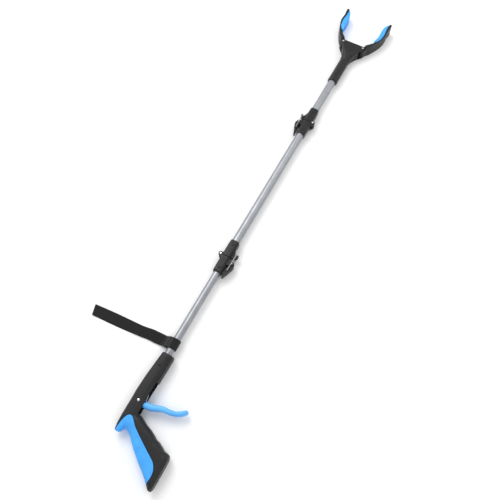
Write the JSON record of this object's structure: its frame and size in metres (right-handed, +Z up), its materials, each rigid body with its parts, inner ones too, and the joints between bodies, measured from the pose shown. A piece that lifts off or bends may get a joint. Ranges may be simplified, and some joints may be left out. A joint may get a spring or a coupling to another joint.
{
  "type": "reacher grabber",
  "caption": "Folding reacher grabber with a pistol handle, pull trigger, jointed round shaft, curved jaws with soft pads and a webbing wrist loop.",
  "frame": {"origin": "on the flat underside of the barrel, below the centre line of the shaft, 45 mm behind the barrel mouth", "axes": "+X along the shaft from the handle to the jaws, +Y to the wrist strap side and away from the trigger, +Z up, across the lying tool and parallel to every hinge axis"},
  "size_m": [1.0948, 0.261, 0.0293],
  "materials": {
    "handle_plastic": "moulded black, fine satin grain",
    "head_plastic": "moulded black, fine satin grain",
    "joint_plastic": "moulded black",
    "palm_rubber": "soft blue overmould, matt",
    "pad_rubber": "soft blue rubber, matt",
    "trigger_plastic": "moulded blue, satin",
    "tube_aluminium": "drawn and satin anodised",
    "pin_steel": "bright steel",
    "rivet_black": "blackened rivets",
    "screw_steel": "zinc plated",
    "cable_steel": "plain steel",
    "webbing": "black woven webbing"
  },
  "bodies": {
    "handle": {"handle_shell_top": "handle_plastic", "handle_shell_bottom": "handle_plastic", "palm_inlay_top": "palm_rubber", "palm_inlay_bottom": "palm_rubber", "handle_screw_1": "screw_steel", "handle_screw_2": "screw_steel", "handle_screw_3": "screw_steel", "handle_screw_4": "screw_steel", "barrel_rivet": "rivet_black", "trigger_pin": "pin_steel", "handle_tube": "tube_aluminium", "lower_joint_base": "joint_plastic", "lower_base_rivet": "rivet_black", "lower_hinge_pin": "pin_steel", "lower_latch_pin": "pin_steel"},
    "trigger": {"trigger": "trigger_plastic", "cable_nipple": "cable_steel"},
    "handle_cable": {"cable_handle_run": "cable_steel"},
    "strap": {"wrist_strap": "webbing"},
    "lower_lever": {"lower_latch_lever": "joint_plastic"},
    "lower_bail": {"lower_latch_bail": "pin_steel"},
    "middle": {"lower_joint_cap": "joint_plastic", "lower_cap_rivet": "rivet_black", "middle_tube": "tube_aluminium", "upper_joint_base": "joint_plastic", "upper_base_rivet": "rivet_black", "upper_hinge_pin": "pin_steel", "upper_latch_pin": "pin_steel"},
    "middle_cable": {"cable_middle_run": "cable_steel"},
    "upper_lever": {"upper_latch_lever": "joint_plastic"},
    "upper_bail": {"upper_latch_bail": "pin_steel"},
    "head": {"upper_joint_cap": "joint_plastic", "upper_cap_rivet": "rivet_black", "head_tube": "tube_aluminium", "head_rivet": "rivet_black", "head_housing_top": "head_plastic", "head_housing_bottom": "head_plastic", "head_screw_1": "screw_steel", "head_screw_2": "screw_steel", "jaw_pin_left": "pin_steel", "jaw_pin_right": "pin_steel"},
    "yoke": {"yoke": "cable_steel", "cable_ferrule": "cable_steel", "cable_head_run": "cable_steel", "return_spring": "cable_steel"},
    "jaw_left": {"jaw_arm_left": "head_plastic", "jaw_pad_left": "pad_rubber"},
    "jaw_right": {"jaw_arm_right": "head_plastic", "jaw_pad_right": "pad_rubber"}
  },
  "joints": [
    {"name": "trigger_pull", "type": "hinge", "parent": "handle", "child": "trigger", "pos_m": [-0.045, 0, 0.014], "axis": [0, 0, -1], "range_deg": [0, 28], "stiffness_Nm_per_rad": 1, "springref_deg": -11.46},
    {"name": "handle_cable_pull", "type": "slide", "parent": "handle", "child": "handle_cable", "axis": [-1, 0, 0], "range_m": [0, 0.0052]},
    {"name": "strap_turn", "type": "hinge", "parent": "handle", "child": "strap", "pos_m": [0.066, 0, 0.014], "axis": [1, 0, 0], "range_deg": [0, 180]},
    {"name": "lower_fold", "type": "hinge", "parent": "handle", "child": "middle", "pos_m": [0.256, 0.0115, 0.014], "axis": [0, 0, 1], "range_deg": [0, 172]},
    {"name": "lower_latch", "type": "hinge", "parent": "handle", "child": "lower_lever", "pos_m": [0.247, -0.0165, 0.014], "axis": [0, 0, 1], "range_deg": [0, 90]},
    {"name": "lower_bail_swing", "type": "hinge", "parent": "lower_lever", "child": "lower_bail", "pos_m": [0.231, -0.0154, 0.014], "axis": [0, 0, -1], "range_deg": [0, 90]},
    {"name": "middle_cable_pull", "type": "slide", "parent": "middle", "child": "middle_cable", "axis": [-1, 0, 0], "range_m": [0, 0.0052]},
    {"name": "upper_fold", "type": "hinge", "parent": "middle", "child": "head", "pos_m": [0.608, -0.0115, 0.014], "axis": [0, 0, -1], "range_deg": [0, 168]},
    {"name": "upper_latch", "type": "hinge", "parent": "middle", "child": "upper_lever", "pos_m": [0.599, 0.0165, 0.014], "axis": [0, 0, -1], "range_deg": [0, 90]},
    {"name": "upper_bail_swing", "type": "hinge", "parent": "upper_lever", "child": "upper_bail", "pos_m": [0.583, 0.0154, 0.014], "axis": [0, 0, 1], "range_deg": [0, 90]},
    {"name": "yoke_pull", "type": "slide", "parent": "head", "child": "yoke", "axis": [-1, 0, 0], "range_m": [0, 0.0052]},
    {"name": "jaw_left_close", "type": "hinge", "parent": "head", "child": "jaw_left", "pos_m": [0.841, 0.0235, 0.014], "axis": [0, 0, -1], "range_deg": [0, 28.6]},
    {"name": "jaw_right_close", "type": "hinge", "parent": "head", "child": "jaw_right", "pos_m": [0.841, -0.0235, 0.014], "axis": [0, 0, 1], "range_deg": [0, 28.6]}
  ],
  "couplings": [
    {"joint": "handle_cable_pull", "follows": "trigger_pull", "m_per_rad": 0.010074},
    {"joint": "middle_cable_pull", "follows": "trigger_pull", "m_per_rad": 0.010074},
    {"joint": "yoke_pull", "follows": "trigger_pull", "m_per_rad": 0.010074},
    {"joint": "jaw_left_close", "follows": "trigger_pull", "ratio": 1.0179},
    {"joint": "jaw_right_close", "follows": "trigger_pull", "ratio": 1.0179},
    {"joint": "lower_latch", "follows": "lower_fold", "ratio": 0.5},
    {"joint": "lower_bail_swing", "follows": "lower_fold", "ratio": 0.5},
    {"joint": "upper_latch", "follows": "upper_fold", "ratio": 0.5},
    {"joint": "upper_bail_swing", "follows": "upper_fold", "ratio": 0.5}
  ]
}
